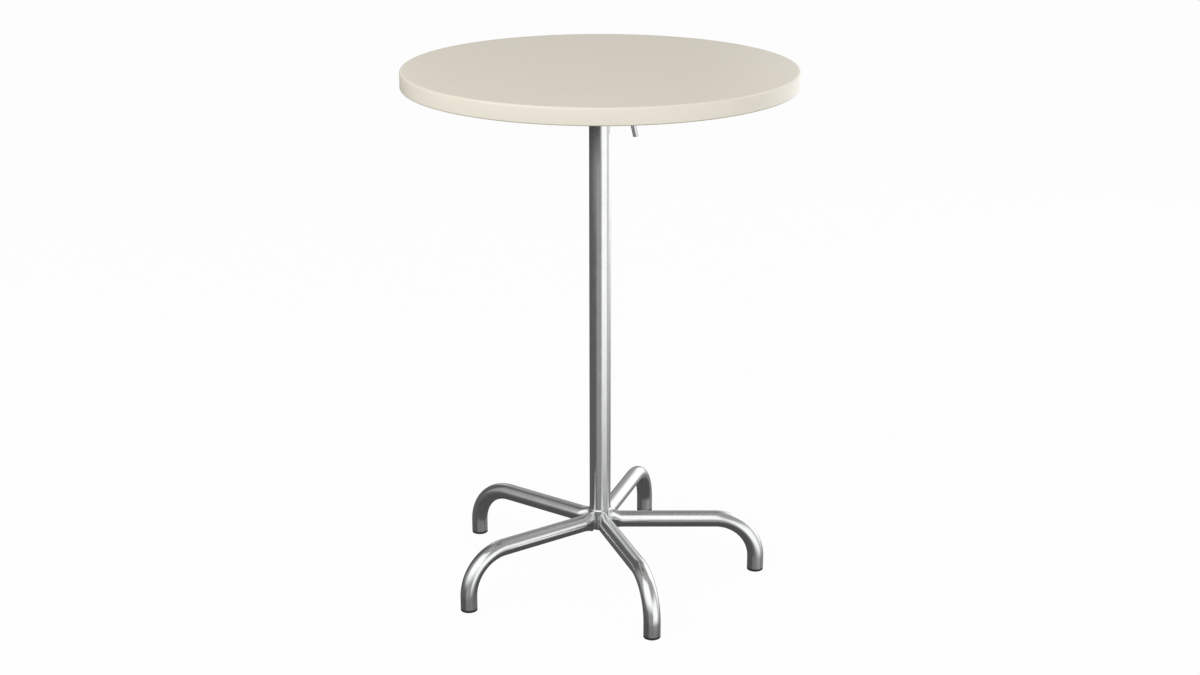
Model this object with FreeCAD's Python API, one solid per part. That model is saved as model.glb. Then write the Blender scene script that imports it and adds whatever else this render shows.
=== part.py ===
"""High table: a round laminated top that tilts upright on a five-legged steel stand.

All sizes are in millimetres. +Z is up, +X points to the side with the hand lever and +Y to the side
that the tilted top hangs on. The origin lies on the floor, under the axis of the column.
"""

import FreeCAD, Part
import math
import os

from FreeCAD import Placement, Rotation, Vector

# Overall sizes
table_height = 1100.0
top_diameter = 800.0

# Clearances
seat_gap = 0.1          # radial play of pieces that are pressed, welded or screwed together
running_gap = 0.05      # radial play of a turning shaft
side_gap = 0.1          # play between flat faces that slide on each other
stop_gap = 0.1          # play that is left at a stop
overrun = 1.0           # how far a cutting body runs past the face that it cuts

# Table top
top_thickness = 34.0
top_upper_rounding = 4.5
top_lower_rounding = 2.0
skin_thickness = 3.0
rim_thickness = 4.0
underside_thickness = 2.0

# Screw fixing of the tilt fitting
insert_diameter = 10.0
insert_length = 13.0
screw_diameter = 6.0
screw_edge_distance = 20.0
screw_end_play = 1.5
screw_head_diameter = 11.0
screw_head_height = 3.5
screw_head_rounding = 1.2
screw_socket_width = 4.0
screw_socket_depth = 2.2
screw_hole_play = 0.3
washer_diameter = 12.5
washer_thickness = 1.6

# Tilt fitting under the top
mount_plate_width = 220.0
mount_plate_thickness = 5.0
mount_plate_corner_radius = 16.0
lug_thickness = 5.0
lug_root_length = 70.0
lug_eye_radius = 16.0
bush_wall = 2.0

# Place of the tilt axis
pivot_setback = 20.0
pivot_drop = 26.0
pivot_rise = 35.0

# Head of the column
head_width = 60.0
head_sheet = 5.0
head_bend_radius = 2.5
head_front_reach = 30.0
head_back_radius = 20.0
head_cheek_rise = 20.0
head_corner_radius = 6.0

# Stops with rubber buffers
bridge_thickness = 4.0
bridge_width = 18.0
bridge_setback = 2.0
buffer_spacing = 28.0
buffer_diameter = 16.0
buffer_rounding = 1.5
buffer_height = 11.0
buffer_stem_diameter = 8.0
buffer_lip_diameter = 11.0
buffer_lip_height = 3.0

# Clamp with its tie rod
tie_rod_diameter = 10.0
tie_rod_end_length = 2.0
tie_rod_chamfer = 1.0
spacer_wall = 4.0
friction_disc_diameter = 32.0
friction_disc_thickness = 1.5
nut_washer_diameter = 20.0
nut_washer_thickness = 2.0
nut_width = 16.0
nut_height = 8.0
nut_collar_diameter = 14.5
nut_collar_height = 2.0
thrust_washer_diameter = 26.0
thrust_washer_thickness = 5.0
eye_diameter = 16.0
eye_width = 11.0

# Hand lever with its eccentric cam
cross_pin_diameter = 6.0
cross_pin_protrusion = 0.5
cam_radius = 12.0
cam_eccentricity = 1.5
cam_thickness = 7.2
cam_gap = 0.3
cam_bridge_gap = 1.5
cam_bridge_length = 8.5
cam_bridge_half_depth = 9.0
cam_bridge_rounding = 2.5
lever_lean_degrees = 12.3
lever_length = 82.1
lever_diameter = 12.0
lever_chamfer = 0.7

# Column
column_diameter = 45.0
column_wall = 2.5

# Base hub
hub_wall = 2.4
hub_drop = 16.5          # how far the hub reaches below the axis of the legs
hub_height = 45.0
hub_edge_rounding = 0.8
hub_shoulder_height = 2.2
hub_shoulder_depth = 1.6
hub_floor_recess = 6.0
hub_floor_thickness = 6.0
nut_plate_thickness = 12.0
base_bolt_diameter = 10.0
base_bolt_length = 25.0
base_bolt_head_width = 16.0
base_bolt_head_height = 6.4
base_washer_diameter = 20.0
base_washer_thickness = 2.0

# Legs and glides
leg_count = 5
leg_diameter = 35.0
leg_wall = 2.0
leg_axis_height = 118.5
leg_foot_radius = 337.0
leg_bend_radius = 88.0
leg_end_height = 42.0
leg_end_width = 23.2
leg_press_length = 24.0
glide_height = 5.0
glide_edge_rounding = 1.2
glide_stem_height = 20.0
glide_rib_height = 1.2
glide_rib_depth = 0.8
glide_rib_count = 4

# Corner of a hexagon, as a share of half its width across flats
hex_corner_share = 1.09
# Steps of the pressed leg end, as shares of its length and of the change of section
press_place_shares = (0.0, 0.3, 0.7, 1.0)
press_change_shares = (0.0, 0.2, 0.8, 1.0)

leg_names = ("right", "back_right", "back_left", "front_left", "front")

# Places that follow from the sizes above
top_radius = top_diameter / 2
top_bottom = table_height - top_thickness
plate_bottom = top_bottom - mount_plate_thickness
screw_pitch = mount_plate_width / 2 - screw_edge_distance
pivot_height = plate_bottom - pivot_drop
column_top = pivot_height - pivot_rise
column_radius = column_diameter / 2
hub_radius = column_radius + seat_gap + hub_wall
hub_bottom = leg_axis_height - hub_drop
hub_top = hub_bottom + hub_height
hub_floor_bottom = hub_bottom + hub_floor_recess
column_bottom = hub_floor_bottom + hub_floor_thickness
cheek_inside = head_width / 2 - head_sheet
cheek_outside = head_width / 2
disc_outside = cheek_outside + friction_disc_thickness
lug_inside = disc_outside + side_gap
lug_outside = lug_inside + lug_thickness
clamp_face = lug_outside + side_gap
thrust_face = clamp_face + thrust_washer_thickness
pin_place = thrust_face + cam_gap + cam_radius + cam_eccentricity
nut_inside = clamp_face + nut_washer_thickness
nut_outside = nut_inside + nut_height + nut_collar_height
bush_radius = tie_rod_diameter / 2 + running_gap + bush_wall
leg_radius = leg_diameter / 2

X_AXIS = Vector(1, 0, 0)
Y_AXIS = Vector(0, 1, 0)
Z_AXIS = Vector(0, 0, 1)


def box(x_range, y_range, z_range):
    """Box between two places on each axis."""
    low = Vector(x_range[0], y_range[0], z_range[0])
    return Part.makeBox(x_range[1] - low.x, y_range[1] - low.y, z_range[1] - low.z, low)


def cylinder_z(radius, bottom, top, x=0.0, y=0.0):
    """Upright cylinder between two heights."""
    return Part.makeCylinder(radius, top - bottom, Vector(x, y, bottom), Z_AXIS)


def ring_z(outer, inner, bottom, top, x=0.0, y=0.0):
    """Upright ring between two heights."""
    hole = cylinder_z(inner, bottom - overrun, top + overrun, x, y)
    return cylinder_z(outer, bottom, top, x, y).cut(hole)


def cylinder_x(radius, start, end):
    """Cylinder on the tilt axis between two places along X."""
    return Part.makeCylinder(radius, end - start, Vector(start, pivot_setback, pivot_height), X_AXIS)


def ring_x(outer, inner, start, end):
    """Ring on the tilt axis between two places along X."""
    return cylinder_x(outer, start, end).cut(cylinder_x(inner, start - overrun, end + overrun))


def cylinder_y(radius, x, start, end):
    """Cylinder along Y at the height of the tilt axis."""
    return Part.makeCylinder(radius, end - start, Vector(x, start, pivot_height), Y_AXIS)


def arc(start, through, end):
    """Edge on the arc through three points."""
    return Part.Arc(start, through, end).toShape()


def line(start, end):
    """Straight edge between two points."""
    return Part.LineSegment(start, end).toShape()


def corner_middle(centre, radius, x_sign, z_sign):
    """Middle point of a quarter arc in the XZ plane."""
    reach = radius * math.sqrt(0.5)
    return centre + Vector(x_sign * reach, 0, z_sign * reach)


def turned(edges):
    """Solid of revolution about Z from the edges of its half section in the XZ plane."""
    face = Part.Face(Part.Wire(edges))
    return face.revolve(Vector(0, 0, 0), Z_AXIS, 360)


def hexagon(width, bottom, top):
    """Upright hexagonal prism with turned corners, centred on Z."""
    corner = width / 2 / math.cos(math.pi / 6)
    points = [Vector(corner * math.cos(k * math.pi / 3), corner * math.sin(k * math.pi / 3), bottom)
              for k in range(7)]
    prism = Part.Face(Part.makePolygon(points)).extrude(Vector(0, 0, top - bottom))
    return prism.common(cylinder_z(width / 2 * hex_corner_share, bottom, top))


def onto_tilt_axis(shape, place):
    """Lay an upright piece on the tilt axis, so that its +Z points along -X from the given place."""
    moved = shape.copy()
    moved.Placement = Placement(Vector(place, pivot_setback, pivot_height), Rotation(Y_AXIS, -90))
    return moved


def screw_places():
    """Centres of the eight fixing screws: the corners and the middles of a square."""
    steps = (-1, 0, 1)
    return [(i * screw_pitch, j * screw_pitch) for i in steps for j in steps if (i, j) != (0, 0)]


# Table top

def make_top_shell():
    """Moulded skin that covers the top face and wraps the rim."""
    upper, lower = top_upper_rounding, top_lower_rounding
    inner = top_radius - rim_thickness
    core_top = table_height - skin_thickness
    upper_centre = Vector(top_radius - upper, 0, table_height - upper)
    lower_centre = Vector(top_radius - lower, 0, top_bottom + lower)
    axis_top = Vector(0, 0, table_height)
    axis_core = Vector(0, 0, core_top)
    flat_end = Vector(top_radius - upper, 0, table_height)
    rim_high = Vector(top_radius, 0, table_height - upper)
    rim_low = Vector(top_radius, 0, top_bottom + lower)
    under_out = Vector(top_radius - lower, 0, top_bottom)
    under_in = Vector(inner, 0, top_bottom)
    core_corner = Vector(inner, 0, core_top)
    return turned([
        line(axis_core, axis_top),
        line(axis_top, flat_end),
        arc(flat_end, corner_middle(upper_centre, upper, 1, 1), rim_high),
        line(rim_high, rim_low),
        arc(rim_low, corner_middle(lower_centre, lower, 1, -1), under_out),
        line(under_out, under_in),
        line(under_in, core_corner),
        line(core_corner, axis_core),
    ])


def make_top_core():
    """Plywood disc inside the skin, with blind holes for the inserts."""
    bottom = top_bottom + underside_thickness
    core = cylinder_z(top_radius - rim_thickness, bottom, table_height - skin_thickness)
    return core.cut(insert_holes())


def make_top_underside():
    """Balancing sheet that closes the underside."""
    sheet = cylinder_z(top_radius - rim_thickness, top_bottom, top_bottom + underside_thickness)
    return sheet.cut(insert_holes())


def insert_holes():
    """Cutting bodies of the insert holes."""
    radius = insert_diameter / 2 + seat_gap
    return Part.makeCompound([
        cylinder_z(radius, top_bottom - overrun, top_bottom + insert_length, x, y)
        for x, y in screw_places()])


def make_threaded_inserts():
    """Brass inserts that the fixing screws bite into."""
    bore = screw_diameter / 2 + seat_gap
    return Part.makeCompound([
        ring_z(insert_diameter / 2, bore, top_bottom, top_bottom + insert_length, x, y)
        for x, y in screw_places()])


def make_mounting_screws():
    """Round-headed screws with a hexagon socket."""
    head_top = plate_bottom - washer_thickness
    head_bottom = head_top - screw_head_height
    shank_top = top_bottom + insert_length - screw_end_play
    screws = []
    for x, y in screw_places():
        head = cylinder_z(screw_head_diameter / 2, head_bottom, head_top)
        low_edges = [e for e in head.Edges if e.BoundBox.ZMax < head_top and e.isClosed()]
        head = head.makeFillet(screw_head_rounding, low_edges)
        screw = head.fuse(cylinder_z(screw_diameter / 2, head_top, shank_top))
        socket = hexagon(screw_socket_width, head_bottom - overrun, head_bottom + screw_socket_depth)
        screw = screw.cut(socket).removeSplitter()
        screw.translate(Vector(x, y, 0))
        screws.append(screw)
    return Part.makeCompound(screws)


def make_screw_washers():
    """Washers under the screw heads."""
    return Part.makeCompound([
        ring_z(washer_diameter / 2, screw_diameter / 2 + screw_hole_play,
               plate_bottom - washer_thickness, plate_bottom, x, y)
        for x, y in screw_places()])


# Tilt fitting under the top

def make_mount_plate():
    """Square steel plate that carries the top."""
    half = mount_plate_width / 2
    plate = box((-half, half), (-half, half), (plate_bottom, top_bottom))
    upright = [e for e in plate.Edges if e.BoundBox.ZLength > mount_plate_thickness / 2]
    plate = plate.makeFillet(mount_plate_corner_radius, upright)
    radius = screw_diameter / 2 + screw_hole_play
    for x, y in screw_places():
        plate = plate.cut(cylinder_z(radius, plate_bottom - overrun, top_bottom + overrun, x, y))
    return plate


def make_lug(inside, outside):
    """Upright lug under the plate, tapering to the eye that turns on the tie rod."""
    half = lug_root_length / 2
    eye = Vector(0, pivot_setback, pivot_height)
    corner_distance = math.hypot(half, pivot_drop)
    swing = math.atan2(pivot_drop, half) - math.acos(lug_eye_radius / corner_distance)
    tangent_y = lug_eye_radius * math.cos(swing)
    tangent_z = lug_eye_radius * math.sin(swing)
    front_high = Vector(0, pivot_setback - half, plate_bottom)
    back_high = Vector(0, pivot_setback + half, plate_bottom)
    front_low = eye + Vector(0, -tangent_y, tangent_z)
    back_low = eye + Vector(0, tangent_y, tangent_z)
    outline = Part.Wire([
        line(front_high, back_high),
        line(back_high, back_low),
        arc(back_low, eye - Vector(0, 0, lug_eye_radius), front_low),
        line(front_low, front_high),
    ])
    lug = Part.Face(outline).extrude(Vector(outside - inside, 0, 0))
    lug.translate(Vector(inside, 0, 0))
    return lug.cut(cylinder_x(bush_radius + seat_gap, inside - overrun, outside + overrun))


def make_pivot_bushes():
    """Plain bearing bushes in the two lugs."""
    bore = tie_rod_diameter / 2 + running_gap
    return Part.makeCompound([
        ring_x(bush_radius, bore, -lug_outside, -lug_inside),
        ring_x(bush_radius, bore, lug_inside, lug_outside),
    ])


# Head of the column

def make_head_saddle():
    """Sheet steel bent to a U, welded on the column, with a bore for the tie rod in each cheek."""
    half, sheet = head_width / 2, head_sheet
    outer = head_bend_radius + head_sheet
    high = pivot_height + head_cheek_rise
    low = column_top
    front = -head_front_reach
    back = pivot_setback + head_back_radius
    right_centre = Vector(half - outer, front, low + outer)
    left_centre = Vector(outer - half, front, low + outer)

    def at(x, z):
        return Vector(x, front, z)

    section = Part.Wire([
        line(at(-half, high), at(-half, low + outer)),
        arc(at(-half, low + outer), corner_middle(left_centre, outer, -1, -1), at(outer - half, low)),
        line(at(outer - half, low), at(half - outer, low)),
        arc(at(half - outer, low), corner_middle(right_centre, outer, 1, -1), at(half, low + outer)),
        line(at(half, low + outer), at(half, high)),
        line(at(half, high), at(half - sheet, high)),
        line(at(half - sheet, high), at(half - sheet, low + outer)),
        arc(at(half - sheet, low + outer), corner_middle(right_centre, head_bend_radius, 1, -1),
            at(half - outer, low + sheet)),
        line(at(half - outer, low + sheet), at(outer - half, low + sheet)),
        arc(at(outer - half, low + sheet), corner_middle(left_centre, head_bend_radius, -1, -1),
            at(sheet - half, low + outer)),
        line(at(sheet - half, low + outer), at(sheet - half, high)),
        line(at(sheet - half, high), at(-half, high)),
    ])
    channel = Part.Face(section).extrude(Vector(0, back - front, 0))
    wide = (-half - overrun, half + overrun)
    side = box(wide, (front, back), (low - overrun, pivot_height))
    side = side.fuse(box(wide, (front, pivot_setback), (low, high)))
    side = side.fuse(cylinder_x(head_back_radius, wide[0], wide[1])).removeSplitter()
    front_edges = [e for e in side.Edges
                   if e.BoundBox.YMax < front + overrun and e.BoundBox.ZMin > high - overrun]
    side = side.makeFillet(head_corner_radius, front_edges)
    bore = cylinder_x(tie_rod_diameter / 2 + seat_gap, wide[0], wide[1])
    return channel.common(side).cut(bore).removeSplitter()


rest_bridge_top = plate_bottom - stop_gap - buffer_height
rest_bridge_front = -head_front_reach + bridge_setback
rest_buffer_y = rest_bridge_front + bridge_width / 2
tilt_stop_plane = pivot_setback + pivot_drop
tilt_bridge_back = pivot_setback + head_back_radius - bridge_setback
tilt_bridge_bottom = column_top + head_sheet + head_bend_radius
tilt_buffer_z = tilt_bridge_bottom + bridge_width / 2
tilt_buffer_height = tilt_stop_plane - stop_gap - tilt_bridge_back


def buffer(height):
    """Upright rubber buffer with a stem and a lip; its shoulder is at height zero."""
    body = cylinder_z(buffer_diameter / 2, 0, height)
    top_edges = [e for e in body.Edges if e.BoundBox.ZMin > height / 2 and e.isClosed()]
    body = body.makeFillet(buffer_rounding, top_edges)
    stem = cylinder_z(buffer_stem_diameter / 2, -bridge_thickness, 0)
    lip = cylinder_z(buffer_lip_diameter / 2, -bridge_thickness - buffer_lip_height, -bridge_thickness)
    return body.fuse([stem, lip]).removeSplitter()


def make_rest_bridge():
    """Bar between the cheeks that carries the buffers for the level top."""
    bar = box((-cheek_inside, cheek_inside), (rest_bridge_front, rest_bridge_front + bridge_width),
              (rest_bridge_top - bridge_thickness, rest_bridge_top))
    radius = buffer_stem_diameter / 2 + seat_gap
    low, high = rest_bridge_top - bridge_thickness - overrun, rest_bridge_top + overrun
    for x in (-buffer_spacing / 2, buffer_spacing / 2):
        bar = bar.cut(cylinder_z(radius, low, high, x, rest_buffer_y))
    return bar


def make_rest_buffers():
    """Two rubber buffers that the level top rests on."""
    pair = []
    for x in (-buffer_spacing / 2, buffer_spacing / 2):
        piece = buffer(buffer_height)
        piece.translate(Vector(x, rest_buffer_y, rest_bridge_top))
        pair.append(piece)
    return Part.makeCompound(pair)


def make_tilt_bridge():
    """Bar between the cheeks that carries the buffers for the upright top."""
    bar = box((-cheek_inside, cheek_inside), (tilt_bridge_back - bridge_thickness, tilt_bridge_back),
              (tilt_bridge_bottom, tilt_bridge_bottom + bridge_width))
    radius, depth = buffer_stem_diameter / 2 + seat_gap, bridge_thickness + 2 * overrun
    for x in (-buffer_spacing / 2, buffer_spacing / 2):
        start = Vector(x, tilt_bridge_back - bridge_thickness - overrun, tilt_buffer_z)
        bar = bar.cut(Part.makeCylinder(radius, depth, start, Y_AXIS))
    return bar


def make_tilt_buffers():
    """Two rubber buffers that the upright top leans on."""
    pair = []
    for x in (-buffer_spacing / 2, buffer_spacing / 2):
        piece = buffer(tilt_buffer_height)
        piece.Placement = Placement(Vector(x, tilt_bridge_back, tilt_buffer_z), Rotation(X_AXIS, -90))
        pair.append(piece)
    return Part.makeCompound(pair)


# Clamp on the tilt axis

def make_spacer_tube():
    """Tube that keeps the cheeks apart when the clamp is tight."""
    bore = tie_rod_diameter / 2 + seat_gap
    return ring_x(bore + spacer_wall, bore, -cheek_inside, cheek_inside)


def make_friction_discs():
    """Fibre discs between the cheeks and the lugs."""
    radius, bore = friction_disc_diameter / 2, tie_rod_diameter / 2 + seat_gap
    return Part.makeCompound([
        ring_x(radius, bore, -disc_outside, -cheek_outside),
        ring_x(radius, bore, cheek_outside, disc_outside),
    ])


def make_tie_rod():
    """Rod through the head and the lugs, with an eye for the cross pin at its right end."""
    start = -nut_outside - tie_rod_end_length
    rod = cylinder_x(tie_rod_diameter / 2, start, pin_place)
    left_edge = [e for e in rod.Edges if e.BoundBox.XMax < start + tie_rod_chamfer]
    rod = rod.makeChamfer(tie_rod_chamfer, left_edge)
    near, far = pivot_setback - eye_width / 2, pivot_setback + eye_width / 2
    eye = cylinder_y(eye_diameter / 2, pin_place, near, far)
    bore = cylinder_y(cross_pin_diameter / 2 + running_gap, pin_place, near - overrun, far + overrun)
    return rod.fuse(eye).cut(bore).removeSplitter()


def make_nut_washer():
    """Washer under the lock nut."""
    return ring_x(nut_washer_diameter / 2, tie_rod_diameter / 2 + seat_gap, -nut_inside, -clamp_face)


def make_lock_nut():
    """Self-locking nut that sets how tight the clamp is."""
    nut = hexagon(nut_width, 0, nut_height)
    collar_top = nut_height + nut_collar_height
    nut = nut.fuse(cylinder_z(nut_collar_diameter / 2, nut_height, collar_top))
    nut = nut.cut(cylinder_z(tie_rod_diameter / 2 + seat_gap, -overrun, collar_top + overrun))
    return onto_tilt_axis(nut.removeSplitter(), -nut_inside)


def make_thrust_washer():
    """Hardened washer that the cam presses on."""
    return ring_x(thrust_washer_diameter / 2, tie_rod_diameter / 2 + seat_gap, clamp_face, thrust_face)


# Hand lever

cam_inside = eye_width / 2 + cam_gap
cam_outside = cam_inside + cam_thickness
cam_bridge_start = eye_diameter / 2 + cam_bridge_gap
cam_bridge_end = cam_bridge_start + cam_bridge_length


def on_lever(shape):
    """Lay a piece made along -Z from the cross pin onto the leaning lever."""
    moved = shape.copy()
    moved.Placement = Placement(Vector(pin_place, pivot_setback, pivot_height),
                                Rotation(Y_AXIS, -lever_lean_degrees))
    return moved


def make_cam_fork():
    """Two eccentric discs joined by a bridge that carries the rod of the lever."""
    centre = pin_place - cam_eccentricity
    discs = [
        cylinder_y(cam_radius, centre, pivot_setback - cam_outside, pivot_setback - cam_inside),
        cylinder_y(cam_radius, centre, pivot_setback + cam_inside, pivot_setback + cam_outside),
    ]
    depth = cam_bridge_half_depth
    bridge = box((-depth, depth), (-cam_outside, cam_outside), (-cam_bridge_end, -cam_bridge_start))
    low_edges = [e for e in bridge.Edges if e.BoundBox.ZMax < -cam_bridge_end + overrun]
    bridge = on_lever(bridge.makeFillet(cam_bridge_rounding, low_edges))
    bore = cylinder_y(cross_pin_diameter / 2 + seat_gap, pin_place,
                      pivot_setback - cam_outside - overrun, pivot_setback + cam_outside + overrun)
    return bridge.fuse(discs).cut(bore).removeSplitter()


def make_cross_pin():
    """Pin through the cam and the eye of the tie rod."""
    reach = cam_outside + cross_pin_protrusion
    pin = cylinder_y(cross_pin_diameter / 2, pin_place, pivot_setback - reach, pivot_setback + reach)
    return pin.makeChamfer(cross_pin_protrusion, [e for e in pin.Edges if e.BoundBox.YLength < overrun])


def make_lever_rod():
    """Plain round rod, cut square at its end, that the hand pulls."""
    rod = cylinder_z(lever_diameter / 2, -lever_length, -cam_bridge_end)
    low_edges = [e for e in rod.Edges if e.BoundBox.ZMax < -lever_length + overrun]
    return on_lever(rod.makeChamfer(lever_chamfer, low_edges))


# Column and base hub

def make_column_tube():
    """Round steel tube from the hub's floor to the head."""
    return ring_z(column_radius, column_radius - column_wall, column_bottom, column_top)


def make_base_hub():
    """Sleeve round the foot of the column that the legs are welded to, with a sloping shoulder."""
    inner = column_radius + seat_gap
    shoulder_start = hub_top - hub_shoulder_height
    corners = [(inner, hub_bottom), (hub_radius, hub_bottom), (hub_radius, shoulder_start),
               (hub_radius - hub_shoulder_depth, hub_top), (inner, hub_top)]
    points = [Vector(r, 0, z) for r, z in corners]
    sleeve = turned([line(start, end) for start, end in zip(points, points[1:] + points[:1])])
    lower_rim = [e for e in sleeve.Edges
                 if e.BoundBox.ZMax < hub_bottom + seat_gap and e.BoundBox.XMax > hub_radius - seat_gap]
    return sleeve.makeFillet(hub_edge_rounding, lower_rim)


def make_hub_floor():
    """Disc welded into the sleeve, which the column stands on."""
    return ring_z(column_radius, base_bolt_diameter / 2 + seat_gap, hub_floor_bottom, column_bottom)


def make_column_nut_plate():
    """Threaded disc welded into the foot of the column."""
    radius = column_radius - column_wall - seat_gap
    return ring_z(radius, base_bolt_diameter / 2 + seat_gap,
                  column_bottom, column_bottom + nut_plate_thickness)


def make_base_washer():
    """Washer under the base bolt."""
    return ring_z(base_washer_diameter / 2, base_bolt_diameter / 2 + seat_gap,
                  hub_floor_bottom - base_washer_thickness, hub_floor_bottom)


def make_base_bolt():
    """Hexagon bolt that pulls the column down into the hub."""
    head_top = hub_floor_bottom - base_washer_thickness
    head = hexagon(base_bolt_head_width, head_top - base_bolt_head_height, head_top)
    shank = cylinder_z(base_bolt_diameter / 2, head_top, head_top + base_bolt_length)
    return head.fuse(shank).removeSplitter()


# Legs and glides

def leg_section(place, half_height, half_width):
    """Closed outline of a leg across its run at a distance from the axis of the column."""
    if half_height == half_width:
        edge = Part.Circle(Vector(0, 0, 0), Z_AXIS, half_height).toShape()
    else:
        edge = Part.Ellipse(Vector(half_height, 0, 0), Vector(0, half_width, 0), Vector(0, 0, 0)).toShape()
    wire = Part.Wire([edge])
    wire.Placement = Placement(Vector(place, 0, leg_axis_height), Rotation(Y_AXIS, -90))
    return wire


def pressed_end(inset):
    """Solid body of the leg's end, pressed from round to a tall oval at the hub."""
    sections = [leg_section(hub_radius / 2, leg_end_height / 2 - inset, leg_end_width / 2 - inset)]
    for place_share, change_share in zip(press_place_shares, press_change_shares):
        half_height = leg_end_height / 2 + (leg_radius - leg_end_height / 2) * change_share
        half_width = leg_end_width / 2 + (leg_radius - leg_end_width / 2) * change_share
        place = hub_radius + leg_press_length * place_share
        sections.append(leg_section(place, half_height - inset, half_width - inset))
    return Part.makeLoft(sections, True, False)


def make_leg(index):
    """Bent tube from the hub to the floor, coped round the hub at its pressed end."""
    press_end = hub_radius + leg_press_length
    bend_start = leg_foot_radius - leg_bend_radius
    rings = [leg_section(press_end, leg_radius, leg_radius),
             leg_section(press_end, leg_radius - leg_wall, leg_radius - leg_wall)]
    straight = Part.Face(rings).extrude(Vector(bend_start - press_end, 0, 0))
    rings = [leg_section(bend_start, leg_radius, leg_radius),
             leg_section(bend_start, leg_radius - leg_wall, leg_radius - leg_wall)]
    bend_centre = Vector(bend_start, 0, leg_axis_height - leg_bend_radius)
    bend = Part.Face(rings).revolve(bend_centre, Y_AXIS, 90)
    foot = ring_z(leg_radius, leg_radius - leg_wall, glide_height,
                  leg_axis_height - leg_bend_radius, leg_foot_radius)
    end = pressed_end(0).cut(pressed_end(leg_wall))
    cope = cylinder_z(hub_radius + seat_gap, 0, leg_axis_height + leg_end_height)
    leg = end.cut(cope).fuse([straight, bend, foot]).removeSplitter()
    leg.rotate(Vector(0, 0, 0), Z_AXIS, 360 * index / leg_count)
    return leg


def make_glide(index):
    """Plastic glide with a ribbed stem pressed into the leg."""
    pad = cylinder_z(leg_radius, 0, glide_height, leg_foot_radius)
    low_edges = [e for e in pad.Edges if e.isClosed() and e.BoundBox.ZMax < glide_height / 2]
    pad = pad.makeFillet(glide_edge_rounding, low_edges)
    rib_radius = leg_radius - leg_wall - seat_gap
    stem_top = glide_height + glide_stem_height
    stem = cylinder_z(rib_radius - glide_rib_depth, glide_height, stem_top, leg_foot_radius)
    pitch = glide_stem_height / (glide_rib_count + 1)
    ribs = [cylinder_z(rib_radius, glide_height + pitch * (k + 1) - glide_rib_height / 2,
                       glide_height + pitch * (k + 1) + glide_rib_height / 2, leg_foot_radius)
            for k in range(glide_rib_count)]
    glide = pad.fuse([stem] + ribs).removeSplitter()
    glide.rotate(Vector(0, 0, 0), Z_AXIS, 360 * index / leg_count)
    return glide


def make_nodes():
    """Every node of the table by name."""
    nodes = {
        "top_shell": make_top_shell(),
        "top_core": make_top_core(),
        "top_underside": make_top_underside(),
        "threaded_inserts": make_threaded_inserts(),
        "mounting_screws": make_mounting_screws(),
        "screw_washers": make_screw_washers(),
        "mount_plate": make_mount_plate(),
        "lug_left": make_lug(-lug_outside, -lug_inside),
        "lug_right": make_lug(lug_inside, lug_outside),
        "pivot_bushes": make_pivot_bushes(),
        "head_saddle": make_head_saddle(),
        "rest_bridge": make_rest_bridge(),
        "rest_buffers": make_rest_buffers(),
        "tilt_bridge": make_tilt_bridge(),
        "tilt_buffers": make_tilt_buffers(),
        "spacer_tube": make_spacer_tube(),
        "friction_discs": make_friction_discs(),
        "tie_rod": make_tie_rod(),
        "nut_washer": make_nut_washer(),
        "lock_nut": make_lock_nut(),
        "thrust_washer": make_thrust_washer(),
        "cam_fork": make_cam_fork(),
        "cross_pin": make_cross_pin(),
        "lever_rod": make_lever_rod(),
        "column_tube": make_column_tube(),
        "base_hub": make_base_hub(),
        "hub_floor": make_hub_floor(),
        "column_nut_plate": make_column_nut_plate(),
        "base_washer": make_base_washer(),
        "base_bolt": make_base_bolt(),
    }
    for index, name in enumerate(leg_names):
        nodes["leg_" + name] = make_leg(index)
        nodes["glide_" + name] = make_glide(index)
    return nodes


def main():
    """Write one STEP file per node and print what each holds."""
    os.makedirs("parts", exist_ok=True)
    for name, shape in make_nodes().items():
        shape.exportStep(os.path.join("parts", name + ".step"))
        print(f"{name}: {len(shape.Solids)} solids, {shape.Volume:.0f} mm3, valid {shape.isValid()}")


main()
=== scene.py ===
"""High table with a round laminated top on a five-legged steel stand, dressed and lit.

The frame holds the pieces at their real size. Here they get their finishes. The skin of the top, the
column, the hub's sleeve and the bent legs are replaced by finer meshes of the same size, and the weld
seams are added. Lengths are in metres and angles in degrees. +Z is up, +X points to the hand lever, and
the camera stands at -Y. An azimuth of 0 is toward the camera and 90 is to its right.
"""

import logging
import math
from dataclasses import dataclass
from enum import Enum
from functools import cache
from typing import Callable, NamedTuple

import bmesh
import bpy
from mathutils import Euler, Matrix, Vector


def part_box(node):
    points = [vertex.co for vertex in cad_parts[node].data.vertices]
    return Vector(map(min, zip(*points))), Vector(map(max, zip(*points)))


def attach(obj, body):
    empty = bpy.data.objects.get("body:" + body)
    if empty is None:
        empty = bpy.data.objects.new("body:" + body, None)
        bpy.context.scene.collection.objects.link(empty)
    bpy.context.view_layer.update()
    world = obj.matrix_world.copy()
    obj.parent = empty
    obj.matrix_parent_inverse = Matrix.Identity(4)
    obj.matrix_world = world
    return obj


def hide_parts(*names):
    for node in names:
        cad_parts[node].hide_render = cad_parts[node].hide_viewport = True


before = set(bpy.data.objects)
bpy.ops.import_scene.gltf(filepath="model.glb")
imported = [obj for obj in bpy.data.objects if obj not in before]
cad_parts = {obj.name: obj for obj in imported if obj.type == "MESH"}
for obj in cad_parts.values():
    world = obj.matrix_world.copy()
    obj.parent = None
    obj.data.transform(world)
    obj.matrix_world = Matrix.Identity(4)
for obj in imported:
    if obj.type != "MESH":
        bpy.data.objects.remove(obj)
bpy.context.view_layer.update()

log = logging.getLogger("high_table")

Triple = tuple[float, float, float]
Colour = Triple
Rows = list[list[Vector]]
Corner = Callable[[float], tuple[Vector, Vector]]
Value = "Signal | float"

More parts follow.
